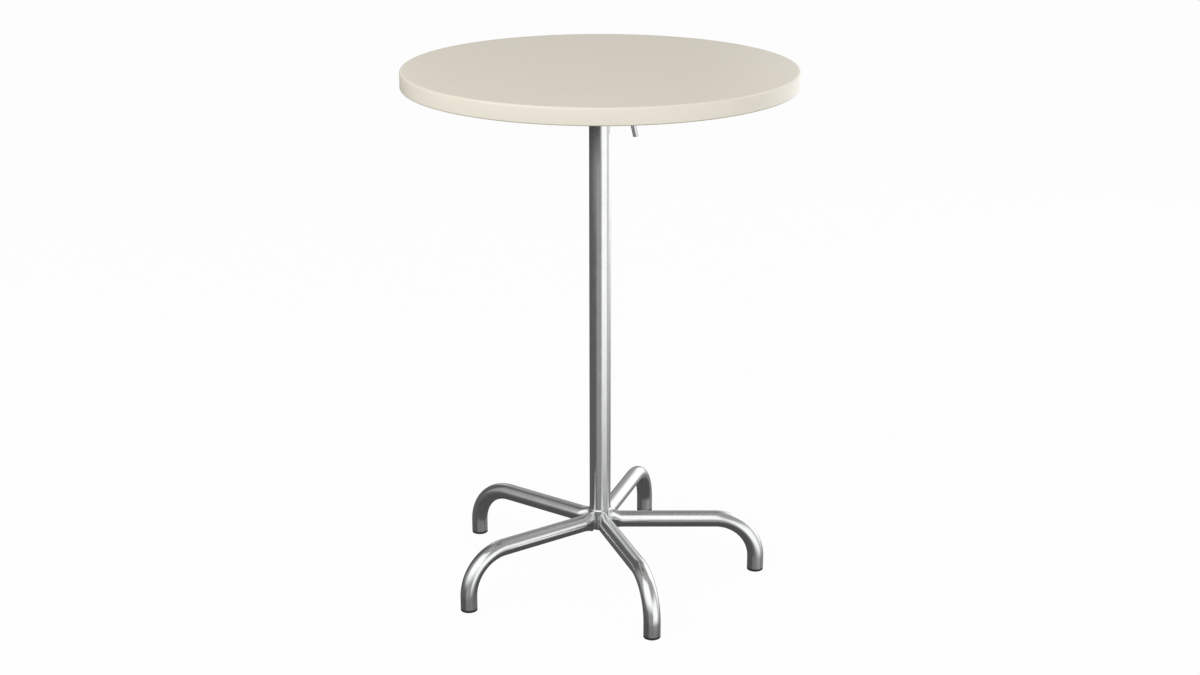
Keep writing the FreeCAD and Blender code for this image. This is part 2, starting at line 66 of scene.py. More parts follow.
# An edge of a mesh stays sharp from this angle
NODE_SHARP = 30.0
TURNED_SHARP = 25.0
BENT_SHARP = 38.0
WELD_SHARP = 80.0

# Points this close are merged, and edges this short are dissolved
SAME_POINT = 1e-7
NO_LENGTH = 1e-8

# Legs in the order in which they stand, at even steps from the lever's side
LEGS = ("right", "back_right", "back_left", "front_left", "front")


class Body(Enum):
    """Bodies that new pieces move with."""

    STAND = "stand"
    TOP = "top"


class Place(Enum):
    """Where a finish reads its place on the piece from."""

    OBJECT = "object"
    TUBE = "tube_place"


class Signal:
    """Output socket of a node that can stand in a sum: an expression adds its Math nodes."""

    def __init__(self, recipe: "Recipe", socket: bpy.types.NodeSocket) -> None:
        """Keep an output socket and the recipe that its node is in."""
        self.recipe = recipe
        self.socket = socket

    def _math(self, operation: str, *values: Value) -> "Signal":
        """Result of a Math node with these inputs."""
        return self.recipe.node("ShaderNodeMath", {"operation": operation}, dict(enumerate(values)))

    def __add__(self, other: Value) -> "Signal":
        """Sum."""
        return self._math("ADD", self, other)

    __radd__ = __add__

    def __sub__(self, other: Value) -> "Signal":
        """Difference."""
        return self._math("SUBTRACT", self, other)

    def __rsub__(self, other: float) -> "Signal":
        """Difference from a number."""
        return self._math("SUBTRACT", other, self)

    def __mul__(self, other: Value) -> "Signal":
        """Product."""
        return self._math("MULTIPLY", self, other)

    __rmul__ = __mul__

    def __truediv__(self, other: Value) -> "Signal":
        """Quotient."""
        return self._math("DIVIDE", self, other)

    def __abs__(self) -> "Signal":
        """Size without its sign."""
        return self._math("ABSOLUTE", self)

    def greatest(self, other: Value) -> "Signal":
        """The larger of two values."""
        return self._math("MAXIMUM", self, other)

    def ping_pong(self, top: float) -> "Signal":
        """Value that runs up to the top and back, over and over."""
        return self._math("PINGPONG", self, top)

    def swing(self, depth: float) -> "Signal":
        """Level around 0, as deep as this, from a signal around 0.5."""
        return (self - 0.5) * depth

    def angle(self, other: "Signal") -> "Signal":
        """Angle of the point with this height and the other's run, in radians."""
        return self._math("ARCTAN2", self, other)

    def arcsine(self) -> "Signal":
        """Angle with this sine, in radians."""
        return self._math("ARCSINE", self)

    def smooth(self, low: float, high: float, start: float = 0.0, end: float = 1.0) -> "Signal":
        """Ease from one level to another.

        Args:
            low: Value up to which the level stays at start.
            high: Value from which the level stays at end.
            start: Level below the range.
            end: Level above the range.

        Returns:
            The level.
        """
        return self.recipe.node(
            "ShaderNodeMapRange", {"interpolation_type": "SMOOTHSTEP"},
            {"Value": self, "From Min": low, "From Max": high, "To Min": start, "To Max": end})


class Recipe:
    """Node tree of a material or of the world, with the one method that adds a node."""

    def __init__(self, owner: "bpy.types.Material | bpy.types.World") -> None:
        """Start from an empty tree.

        Args:
            owner: Material or world that gets the tree.
        """
        owner.use_nodes = True
        self.tree = owner.node_tree
        self.tree.nodes.clear()

    @staticmethod
    def _find(sockets: bpy.types.NodeInputs, key: "int | str") -> bpy.types.NodeSocket:
        """Find a socket.

        Args:
            sockets: Inputs or outputs of a node.
            key: Its number, identifier or name.

        Returns:
            The socket.
        """
        if isinstance(key, int):
            return sockets[key]
        return next((s for s in sockets if s.identifier == key), None) or sockets[key]

    def node(self, kind: str, settings: "dict | None" = None, inputs: "dict | None" = None,
             output: "int | str" = 0) -> Signal:
        """Add a node: its settings first, then its inputs.

        Args:
            kind: Type of the node.
            settings: Properties by name.
            inputs: Number, colour or Signal by the number, identifier or name of the socket.
            output: Number, identifier or name of the output that is wanted.

        Returns:
            The wanted output.
        """
        made = self.tree.nodes.new(kind)
        for name, value in (settings or {}).items():
            setattr(made, name, value)
        for key, value in (inputs or {}).items():
            socket = self._find(made.inputs, key)
            if isinstance(value, Signal):
                self.tree.links.new(value.socket, socket)
            else:
                socket.default_value = value
        return Signal(self, self._find(made.outputs, output)) if made.outputs else None

    def vector(self, operation: str, first: "Signal | Triple", second: "Signal | Triple",
               output: "int | str" = 0) -> Signal:
        """Result of a Vector Math node, which for a dot product is the output Value."""
        return self.node("ShaderNodeVectorMath", {"operation": operation}, {0: first, 1: second}, output)

    def mixed(self, share: Value, first: "Signal | Colour", second: "Signal | Colour",
              blend: str = "MIX") -> Signal:
        """Mix two colours.

        Args:
            share: Share of the second colour.
            first: First colour.
            second: Second colour.
            blend: How they are mixed.

        Returns:
            The mixed colour.
        """
        colours = [c if isinstance(c, Signal) else (*c, 1.0) for c in (first, second)]
        return self.node("ShaderNodeMix", {"data_type": "RGBA", "blend_type": blend},
                         {"Factor_Float": share, "A_Color": colours[0], "B_Color": colours[1]},
                         "Result_Color")

    def place(self, source: Place) -> Signal:
        """Place on the piece, in metres.

        Args:
            source: What the place is read from.

        Returns:
            The place as a vector.
        """
        if source is Place.TUBE:
            return self.node("ShaderNodeAttribute", {"attribute_name": source.value}, output="Vector")
        return self.node("ShaderNodeTexCoord", output="Object")

    def height_of(self, place: Signal) -> Signal:
        """Height part of a place or direction."""
        return self.node("ShaderNodeSeparateXYZ", None, {0: place}, "Z")

    def noise(self, place: Signal, size: float, detail: float,
              stretch: Triple = (1.0, 1.0, 1.0)) -> Signal:
        """Noise whose spots are about one size across.

        Args:
            place: Place on the piece.
            size: Size of a spot, in metres.
            detail: Octaves of finer noise.
            stretch: How many times longer a spot is along each axis.

        Returns:
            Noise around 0.5.
        """
        scale = tuple(1.0 / (size * times) for times in stretch)
        return self.node("ShaderNodeTexNoise", None,
                         {"Vector": self.vector("MULTIPLY", place, scale), "Scale": 1.0, "Detail": detail})

    def cells(self, place: Signal, size: float) -> Signal:
        """Random level from 0 to 1 for each crystal of about this size."""
        colour = self.node("ShaderNodeTexVoronoi", None, {"Vector": place, "Scale": 1.0 / size}, "Color")
        return self.node("ShaderNodeSeparateColor", None, {0: colour}, "Red")

    def varied(self, colour: Colour, level: Signal) -> Signal:
        """Colour that a level makes lighter or darker.

        Args:
            colour: Mean colour.
            level: Share by which it is lighter, or darker if below 0.

        Returns:
            The varied colour.
        """
        spread = 0.3
        dark = tuple(part * (1 - spread) for part in colour)
        light = tuple(part * (1 + spread) for part in colour)
        return self.mixed(level / (2 * spread) + 0.5, dark, light)

    def away_from(self, azimuth: float, place: Signal) -> Signal:
        """Angle between a place's azimuth and another, seen from the origin of the place.

        Args:
            azimuth: Azimuth in degrees.
            place: Place or direction.

        Returns:
            The angle in radians, without its sign.
        """
        turn = math.radians(azimuth)
        across = self.vector("DOT_PRODUCT", place, (math.cos(turn), math.sin(turn), 0.0), "Value")
        ahead = self.vector("DOT_PRODUCT", place, (math.sin(turn), -math.cos(turn), 0.0), "Value")
        return abs(across.angle(ahead))

    def bump(self, height: Signal, depth: float) -> Signal:
        """Normal of a relief whose height is a share of its depth."""
        return self.node("ShaderNodeBump", None, {"Height": height, "Distance": depth, "Strength": 1.0})

    def finish(self, kind: str, surface: Signal) -> None:
        """Link the shader to an output node of this type."""
        self.node(kind, None, {"Surface": surface})


@dataclass(frozen=True)
class Finish:
    """A surface finish; the classes below say how it varies over a piece."""

    name: str
    slot: str
    colour: Colour
    roughness: float

    def paint(self, recipe: Recipe) -> dict:
        """Values and signals by the name of the surface shader's socket."""
        raise NotImplementedError

    @cache
    def material(self) -> bpy.types.Material:
        """The finish's material, made once.

        Returns:
            The material.
        """
        made = bpy.data.materials.new(self.name + "_finish")
        recipe = Recipe(made)
        shader = recipe.node("ShaderNodeBsdfPrincipled", None, self.paint(recipe))
        recipe.finish("ShaderNodeOutputMaterial", shader)
        made.diffuse_color = (*self.colour, 1.0)
        return made


@dataclass(frozen=True)
class Metal(Finish):
    """Bare or plated metal with blotches, crystals and drawn or ground lines."""

    place: Place = Place.OBJECT
    blotch_size: float = 0.016
    blotch_depth: float = 0.10
    blotch_detail: float = 4.0
    blotch_run: Triple = (1.0, 1.0, 2.2)
    crystal_size: float = 0.005
    crystal_depth: float = 0.03
    haze_fineness: float = 6.0
    haze_detail: float = 3.0
    haze_relief: float = 0.6
    roughness_spread: float = 0.08
    line_size: float = 0.0004
    line_detail: float = 2.0
    line_run: Triple = (1.0, 1.0, 60.0)
    relief: float = 0.000012

    def paint(self, recipe: Recipe) -> dict:
        """Inputs of the surface shader.

        Args:
            recipe: Tree of the material.

        Returns:
            Values and signals by the name of the shader's socket.
        """
        place = recipe.place(self.place)
        blotch = recipe.noise(place, self.blotch_size, self.blotch_detail, self.blotch_run)
        crystal = recipe.cells(place, self.crystal_size)
        lines = recipe.noise(place, self.line_size, self.line_detail, self.line_run)
        haze = recipe.noise(place, self.blotch_size / self.haze_fineness, self.haze_detail)
        level = (blotch.swing(2 * self.blotch_depth) + crystal.swing(self.crystal_depth)
                 + haze.swing(self.blotch_depth / 2))
        spread = self.roughness_spread
        roughness = self.roughness + haze.swing(spread) + blotch.swing(spread) + lines.swing(spread / 2)
        return {
            "Base Color": recipe.varied(self.colour, level),
            "Metallic": 1.0,
            "Roughness": roughness,
            "Normal": recipe.bump(lines + haze * self.haze_relief, self.relief),
        }


@dataclass(frozen=True)
class Moulded(Finish):
    """Laminate, plastic, rubber or fibre with an even colour, cloudiness and a fine grain."""

    cloud_size: float = 0.12
    cloud_depth: float = 0.02
    grain_size: float = 0.0009
    detail: float = 3.0
    wipe_fineness: float = 3.0
    wipe_detail: float = 4.0
    wipe_run: Triple = (3.0, 1.0, 1.0)
    relief: float = 0.00001
    roughness_spread: float = 0.06
    speckle: float = 0.0

    def paint(self, recipe: Recipe) -> dict:
        """Inputs of the surface shader.

        Args:
            recipe: Tree of the material.

        Returns:
            Values and signals by the name of the shader's socket.
        """
        place = recipe.place(Place.OBJECT)
        cloud = recipe.noise(place, self.cloud_size, self.detail)
        grain = recipe.noise(place, self.grain_size, self.detail)
        wipe = recipe.noise(place, self.cloud_size / self.wipe_fineness, self.wipe_detail, self.wipe_run)
        level = cloud.swing(2 * self.cloud_depth) + grain.swing(self.speckle)
        return {
            "Base Color": recipe.varied(self.colour, level),
            "Roughness": self.roughness + wipe.swing(self.roughness_spread),
            "Normal": recipe.bump(grain, self.relief),
        }


@dataclass(frozen=True)
class MouldedSkin(Moulded):
    """Moulded laminate with painted shade: a darker band along the lower edge of its rim, where the
    rounding turns down to the underside.
    """

    # Painted shade: a band this deep above the lower edge, with this colour multiplied into the laminate
    edge_height: float = 0.0
    shade_band_depth: float = 0.0026
    shade_band_blend: float = 0.0014
    painted_shade_colour: Colour = (0.60, 0.57, 0.50)

    def paint(self, recipe: Recipe) -> dict:
        """Inputs of the surface shader.

        Args:
            recipe: Tree of the material.

        Returns:
            Values and signals by the name of the shader's socket.
        """
        inputs = super().paint(recipe)
        above = self.edge_height + self.shade_band_depth
        height = recipe.height_of(recipe.place(Place.OBJECT))
        # Painted shade, darkest at the lower edge and fading out upward
        edge = height.smooth(above - self.shade_band_blend, above, 1.0, 0.0)
        colour = recipe.mixed(edge, inputs["Base Color"], self.painted_shade_colour, "MULTIPLY")
        return inputs | {"Base Color": colour}


@dataclass(frozen=True)
class Plywood(Finish):
    """Layers of veneer, seen on the edge, with grain on the face."""

    layer_thickness: float = 0.0022
    layer_edge: tuple[float, float] = (0.35, 0.65)
    layer_share: float = 0.4
    grain_size: float = 0.0012
    grain_detail: float = 4.0
    grain_run: Triple = (30.0, 1.0, 1.0)
    dark_share: float = 0.55
    relief: float = 0.00008

    def paint(self, recipe: Recipe) -> dict:
        """Inputs of the surface shader.

        Args:
            recipe: Tree of the material.

        Returns:
            Values and signals by the name of the shader's socket.
        """
        place = recipe.place(Place.OBJECT)
        layer = (recipe.height_of(place) / self.layer_thickness).ping_pong(1.0).smooth(*self.layer_edge)
        grain = recipe.noise(place, self.grain_size, self.grain_detail, self.grain_run)
        light = grain * (1 - self.layer_share) + layer * self.layer_share
        dark = tuple(part * self.dark_share for part in self.colour)
        return {
            "Base Color": recipe.mixed(light, dark, self.colour),
            "Roughness": self.roughness,
            "Normal": recipe.bump(grain, self.relief),
        }


class Finishes:
    """Every finish of the table."""

    zinc_coat: Colour = (0.74, 0.745, 0.75)
    # The laminate carries painted shade along the lower edge of its rim
    laminate = MouldedSkin("cream_laminate", "top_laminate", (0.700, 0.637, 0.534), 0.25, cloud_size=0.25,
                           cloud_depth=0.008, grain_size=0.0016, relief=0.000012,
                           edge_height=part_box("top_shell")[0].z)
    underside = Moulded("underside_sheet", "underside_laminate", (0.62, 0.58, 0.50), 0.55,
                        grain_size=0.0012, relief=0.00004)
    plywood = Plywood("core_plywood", "plywood", (0.60, 0.44, 0.27), 0.7)
    drawn_steel = Metal("galvanised_tube", "galvanised_steel", zinc_coat, 0.18, place=Place.TUBE)
    stand_steel = Metal("galvanised_steel", "galvanised_steel", zinc_coat, 0.17)
    weld = Metal("galvanised_weld", "galvanised_steel", zinc_coat, 0.32, blotch_depth=0.16, relief=0.00003)
    fitting = Metal("fitting_steel", "fitting_steel", (0.66, 0.665, 0.67), 0.32, blotch_depth=0.07,
                    line_run=(40.0, 1.0, 1.0))
    fitting_weld = Metal("fitting_weld", "fitting_steel", (0.42, 0.42, 0.42), 0.42, blotch_depth=0.2,
                         relief=0.00004)
    # Lever rod steel: smoother than the fittings, its colour a little darker as painted shade from the top
    # above it
    lever_steel_in_shade = Metal("lever_steel_in_shade", "fitting_steel", (0.62, 0.625, 0.63), 0.15, blotch_depth=0.05)
    zinc = Metal("zinc_plating", "zinc_hardware", (0.62, 0.63, 0.61), 0.30, blotch_depth=0.06,
                 line_run=(1.0, 1.0, 1.0), line_size=0.0008)
    hardened = Metal("hardened_steel", "hardened_steel", (0.30, 0.30, 0.31), 0.28, blotch_depth=0.06)
    brass = Metal("brass", "brass", (0.72, 0.53, 0.26), 0.3, blotch_depth=0.06)
    bronze = Metal("bronze", "bronze", (0.52, 0.36, 0.20), 0.38, blotch_depth=0.08)
    fibre = Moulded("friction_fibre", "friction_fibre", (0.16, 0.11, 0.08), 0.85, cloud_size=0.006,
                    cloud_depth=0.12, grain_size=0.0006, relief=0.0001, speckle=0.5)
    rubber = Moulded("buffer_rubber", "buffer_rubber", (0.022, 0.022, 0.023), 0.7, cloud_size=0.01,
                     cloud_depth=0.08, relief=0.00005)
    glide = Moulded("glide_plastic", "glide_plastic", (0.018, 0.018, 0.020), 0.42, cloud_size=0.012,
                    cloud_depth=0.1, grain_size=0.0007, relief=0.00003, speckle=0.12)


def added(name: str, data: bpy.types.ID) -> bpy.types.Object:
    """New object in the scene.

    Args:
        name: Name of the object.
        data: Its mesh, light or camera.

    Returns:
        The object.
    """
    made = bpy.data.objects.new(name, data)
    bpy.context.scene.collection.objects.link(made)
    return made


def shade(mesh: bpy.types.Mesh, sharp_degrees: float) -> None:
    """Shade a mesh smooth, except at its sharp edges.

    Args:
        mesh: The mesh, whose points stay where they are.
        sharp_degrees: Angle from which an edge stays sharp.
    """
    facets = mesh.attributes.get("custom_normal")
    if facets is not None:
        mesh.attributes.remove(facets)
    mesh.shade_smooth()
    mesh.set_sharp_from_angle(angle=math.radians(sharp_degrees))


def woven(rows: Rows, wrap_rows: bool, name: str, places: "Rows | None" = None,
          sharp_degrees: float = BENT_SHARP) -> bpy.types.Object:
    """Mesh of quads over rows of points, each row a closed ring or profile.

    Args:
        rows: Rows of points, all of one length.
        wrap_rows: Whether the last row joins the first.
        name: Name of the piece.
        places: Place on the unrolled tube of each point, if the finish needs it.
        sharp_degrees: Angle from which an edge stays sharp.

    Returns:
        The new piece, not yet on a body.
    """
    columns = len(rows[0])
    vertices = [point for row in rows for point in row]
    count = len(rows) if wrap_rows else len(rows) - 1
    faces = []
    for i in range(count):
        low, high = i * columns, (i + 1) % len(rows) * columns
        for j in range(columns):
            k = (j + 1) % columns
            faces.append((low + j, low + k, high + k, high + j))
    mesh = bpy.data.meshes.new(name)
    mesh.from_pydata(vertices, [], faces)
    if places is not None:
        layer = mesh.attributes.new(Place.TUBE.value, "FLOAT_VECTOR", "POINT")
        layer.data.foreach_set("vector", [part for row in places for point in row for part in point])
    work = bmesh.new()
    work.from_mesh(mesh)
    bmesh.ops.remove_doubles(work, verts=work.verts, dist=SAME_POINT)
    bmesh.ops.dissolve_degenerate(work, edges=work.edges, dist=NO_LENGTH)
    bmesh.ops.recalc_face_normals(work, faces=work.faces)
    work.to_mesh(mesh)
    work.free()
    shade(mesh, sharp_degrees)
    return added(name, mesh)


def spun(share: float, reach: float, height: float) -> Vector:
    """Point at a share of the full turn about the table's axis."""
    turn = 2 * math.pi * share
    return Vector((reach * math.cos(turn), reach * math.sin(turn), height))


def turned(profile: list[tuple[float, float]], around: int, name: str) -> bpy.types.Object:
    """Piece turned about the table's axis from the radius and height of its half section's points."""
    rows = [[spun(k / around, radius, z) for radius, z in profile] for k in range(around)]
    return woven(rows, True, name, sharp_degrees=TURNED_SHARP)


def mount(piece: bpy.types.Object, body: Body, finish: Finish, *nodes: str) -> None:
    """Give a new piece its finish and its body.

    Args:
        piece: The piece, in place.
        body: Body that it moves with.
        finish: Its finish.
        nodes: Nodes of the frame that it stands for.
    """
    piece.data.materials.clear()
    piece.data.materials.append(finish.material())
    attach(piece, body.value)
    if nodes:
        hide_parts(*nodes)
    log.info("%s: %d faces on %s", piece.name, len(piece.data.polygons), body.value)


def coat(finish: Finish, *nodes: str) -> None:
    """Give nodes of the frame their finish.

    Args:
        finish: Their finish.
        nodes: Their names.
    """
    for name in nodes:
        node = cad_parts[name]
        shade(node.data, NODE_SHARP)
        node.data.materials.clear()
        node.data.materials.append(finish.material())
        log.info("%s: %s", name, finish.name)


def quarter(x: float, z: float, radius: float, start: float, steps: int) -> list[tuple[float, float]]:
    """Points of a quarter arc round (x, z) that runs clockwise from a starting angle."""
    turns = [math.radians(start - 90.0 * k / steps) for k in range(steps + 1)]
    return [(x + radius * math.cos(turn), z + radius * math.sin(turn)) for turn in turns]


@dataclass(frozen=True)
class WeldSeam:
    """Welding bead that follows the corner between two pieces."""

    body: Body = Body.STAND
    finish: Finish = Finishes.weld
    radius: float = 0.0024
    ripple_pitch: float = 0.0017
    ripple_depth: float = 0.10
    ripple_curve: float = 0.9
    wander: float = 0.06
    wanders: int = 5
    wander_start: float = 0.7
    tip: float = 0.02
    taper: float = 3.0
    steps_per_ripple: int = 6
    fewest_steps: int = 24
    around: int = 12

    def rows(self, corner: Corner, length: float, closed: bool) -> Rows:
        """Rings of the bead.

        Args:
            corner: Point on the corner and the direction away from it, at a share of the way.
            length: Length of the way.
            closed: Whether the way closes on itself.

        Returns:
            Rings of points.
        """
        steps = max(int(length / self.ripple_pitch) * self.steps_per_ripple, self.fewest_steps)
        rows = []
        for i in range(steps if closed else steps + 1):
            share = i / steps
            point, away = corner(share)
            away = away.normalized()
            ahead = corner(share + 0.5 / steps)[0] if closed or share < 0.5 else point
            behind = point if not closed and share < 0.5 else corner(share - 0.5 / steps)[0]
            side = (ahead - behind).normalized().cross(away).normalized()
            rise = math.sin(math.pi * share) * length / self.radius / self.taper
            end = 1.0 if closed else min(1.0, rise + self.tip)
            swell = 1 + self.wander * math.sin(2 * math.pi * self.wanders * share + self.wander_start)
            ring = []
            for j in range(self.around):
                turn = 2 * math.pi * j / self.around
                phase = share * length / self.ripple_pitch + self.ripple_curve * math.cos(turn)
                ripple = 1 + self.ripple_depth * (abs(math.sin(math.pi * phase)) - 0.5)
                reach = self.radius * ripple * swell * end
                ring.append(point + away * (reach * math.cos(turn)) + side * (reach * math.sin(turn)))
            rows.append(ring)
        return rows

    def lay(self, name: str, corner: Corner, length: float, closed: bool) -> None:
        """Lay the bead that runs along a corner of this length, and mount it."""
        bead = woven(self.rows(corner, length, closed), closed, "weld_" + name, sharp_degrees=WELD_SHARP)
        mount(bead, self.body, self.finish)

    def lay_ring(self, name: str, radius: float, height: float, out: Vector) -> None:
        """Lay a bead round an upright tube, outward and upward as the direction out says."""
        self.lay(name, lambda share: (spun(share, radius, height), spun(share, out.x, out.z)),
                 2 * math.pi * radius, True)

    def lay_line(self, name: str, start: Vector, end: Vector, out: Vector) -> None:
        """Lay a bead along a straight corner, with the direction out away from it."""
        self.lay(name, lambda share: (start.lerp(end, share), out), (end - start).length, False)


class Assembly:
    """Sub-assembly of the table."""

    def build(self) -> None:
        """Add the meshes that the frame lacks, which for most sub-assemblies is none."""

    def dress(self) -> None:
        """Finish the pieces of the frame."""


@dataclass
class TableTop(Assembly):
    """Round top: moulded skin, core, underside sheet and the fixing screws."""

    upper_rounding: float = 0.0045
    lower_rounding: float = 0.002
    skin: float = 0.003
    rim: float = 0.004
    face_ring_shares: tuple[float, ...] = (0.6, 0.97)
    around: int = 384
    upper_steps: int = 10
    lower_steps: int = 6

    def build(self) -> None:
        """Turn the moulded skin."""
        low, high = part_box("top_shell")
        radius, bottom, top = high.x, low.z, high.z
        upper, lower = self.upper_rounding, self.lower_rounding
        profile = [(0.0, top)] + [(radius * share, top) for share in self.face_ring_shares]
        profile += quarter(radius - upper, top - upper, upper, 90.0, self.upper_steps)
        profile += quarter(radius - lower, bottom + lower, lower, 0.0, self.lower_steps)
        inner, below = radius - self.rim, top - self.skin
        profile += [(inner, bottom), (inner, below), (0.0, below)]
        mount(turned(profile, self.around, "moulded_skin"), Body.TOP, Finishes.laminate, "top_shell")

    def dress(self) -> None:
        """Finish the pieces of the frame."""
        coat(Finishes.plywood, "top_core")
        coat(Finishes.underside, "top_underside")
        coat(Finishes.brass, "threaded_inserts")
        coat(Finishes.zinc, "mounting_screws", "screw_washers")


@dataclass
class TiltFitting(Assembly):
    """Plate, lugs and bushes under the top."""

    seam: WeldSeam = WeldSeam(Body.TOP, Finishes.fitting_weld, radius=0.0028)

    def build(self) -> None:
        """Weld the lugs to the plate."""
        for name, side in (("lug_left", -1), ("lug_right", 1)):
            low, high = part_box(name)
            x = low.x if side < 0 else high.x
            self.seam.lay_line(name, Vector((x, low.y, high.z)), Vector((x, high.y, high.z)),
                               Vector((side, 0, -1)))

    def dress(self) -> None:
        """Finish the pieces of the frame."""
        coat(Finishes.fitting, "mount_plate", "lug_left", "lug_right")
        coat(Finishes.bronze, "pivot_bushes")


@dataclass
class Clamp(Assembly):
    """Tie rod through the head, with its discs, nut and washers."""

    def dress(self) -> None:
        """Finish the pieces of the frame."""
        coat(Finishes.zinc, "tie_rod", "spacer_tube", "nut_washer", "lock_nut")
        coat(Finishes.fibre, "friction_discs")
        coat(Finishes.hardened, "thrust_washer")


@dataclass
class HandLever(Assembly):
    """Eccentric cam with the rod that the hand pulls."""

    def dress(self) -> None:
        """Finish the pieces of the frame."""
        coat(Finishes.fitting, "cam_fork")
        coat(Finishes.hardened, "cross_pin")
        # The lever rod's darker colour is painted shade
        coat(Finishes.lever_steel_in_shade, "lever_rod")


@dataclass
class ColumnHead(Assembly):
    """Saddle on the column with the two bars and their rubber buffers."""

    seam: WeldSeam = WeldSeam()
    bar_seam: WeldSeam = WeldSeam(radius=0.0018)

    def build(self) -> None:
        """Weld the saddle to the column and the bars to the saddle."""
        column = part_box("column_tube")[1]
        self.seam.lay_ring("saddle", column.x, column.z, Vector((1, 0, -1)))
        for name in ("rest_bridge", "tilt_bridge"):
            low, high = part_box(name)
            for side, x, inward in (("left", low.x, 1), ("right", high.x, -1)):
                start = Vector((x, low.y, low.z))
                if name == "rest_bridge":
                    end, out = Vector((x, high.y, low.z)), Vector((inward, 0, -1))
                else:
                    end, out = Vector((x, low.y, high.z)), Vector((inward, -1, 0))
                self.bar_seam.lay_line(f"{name}_{side}", start, end, out)

    def dress(self) -> None:
        """Finish the pieces of the frame."""
        coat(Finishes.stand_steel, "head_saddle", "rest_bridge", "tilt_bridge")
        coat(Finishes.rubber, "rest_buffers", "tilt_buffers")


@dataclass
class Column(Assembly):
    """Round steel tube between the hub and the head."""

    wall: float = 0.0025
    end_rounding: float = 0.0004
    around: int = 128

    def build(self) -> None:
        """Draw the tube."""
        low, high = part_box("column_tube")
        outer, inner, soft = high.x, high.x - self.wall, self.end_rounding
        profile = [(outer, low.z + soft), (outer, high.z - soft), (outer - soft, high.z),
                   (inner + soft, high.z), (inner, high.z - soft), (inner, low.z + soft),
                   (inner + soft, low.z), (outer - soft, low.z)]
        pipe = turned(profile, self.around, "column_pipe")
        mount(pipe, Body.STAND, Finishes.stand_steel, "column_tube")

    def dress(self) -> None:
        """Finish the piece in its foot."""
        coat(Finishes.zinc, "column_nut_plate")


@dataclass
class BaseHub(Assembly):
    """Sleeve that holds the legs, with the floor and the bolt that hold the column."""

    shoulder_height: float = 0.0022
    shoulder_depth: float = 0.0016
    lower_rounding: float = 0.0008
    bore_gap: float = 0.0001
    around: int = 128
    rounding_steps: int = 5
    seam: WeldSeam = WeldSeam(radius=0.0016)

    def build(self) -> None:
        """Turn the sleeve and weld the floor into it."""
        low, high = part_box("base_hub")
        outer, inner, lower = high.x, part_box("column_tube")[1].x + self.bore_gap, self.lower_rounding
        profile = [(inner, low.z), (inner, high.z), (outer - self.shoulder_depth, high.z),
                   (outer, high.z - self.shoulder_height)]
        profile += quarter(outer - lower, low.z + lower, lower, 0.0, self.rounding_steps)
        mount(turned(profile, self.around, "hub_sleeve"), Body.STAND, Finishes.stand_steel, "base_hub")
        low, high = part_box("hub_floor")
        self.seam.lay_ring("hub_floor", high.x, low.z, Vector((-1, 0, -1)))

    def dress(self) -> None:
        """Finish the pieces of the frame."""
        coat(Finishes.stand_steel, "hub_floor")
        coat(Finishes.zinc, "base_washer", "base_bolt")


class Station(NamedTuple):
    """Section across the tube of a leg, and its distance along the run."""

    centre: Vector
    up: Vector
    half_height: float
    half_width: float
    run: float


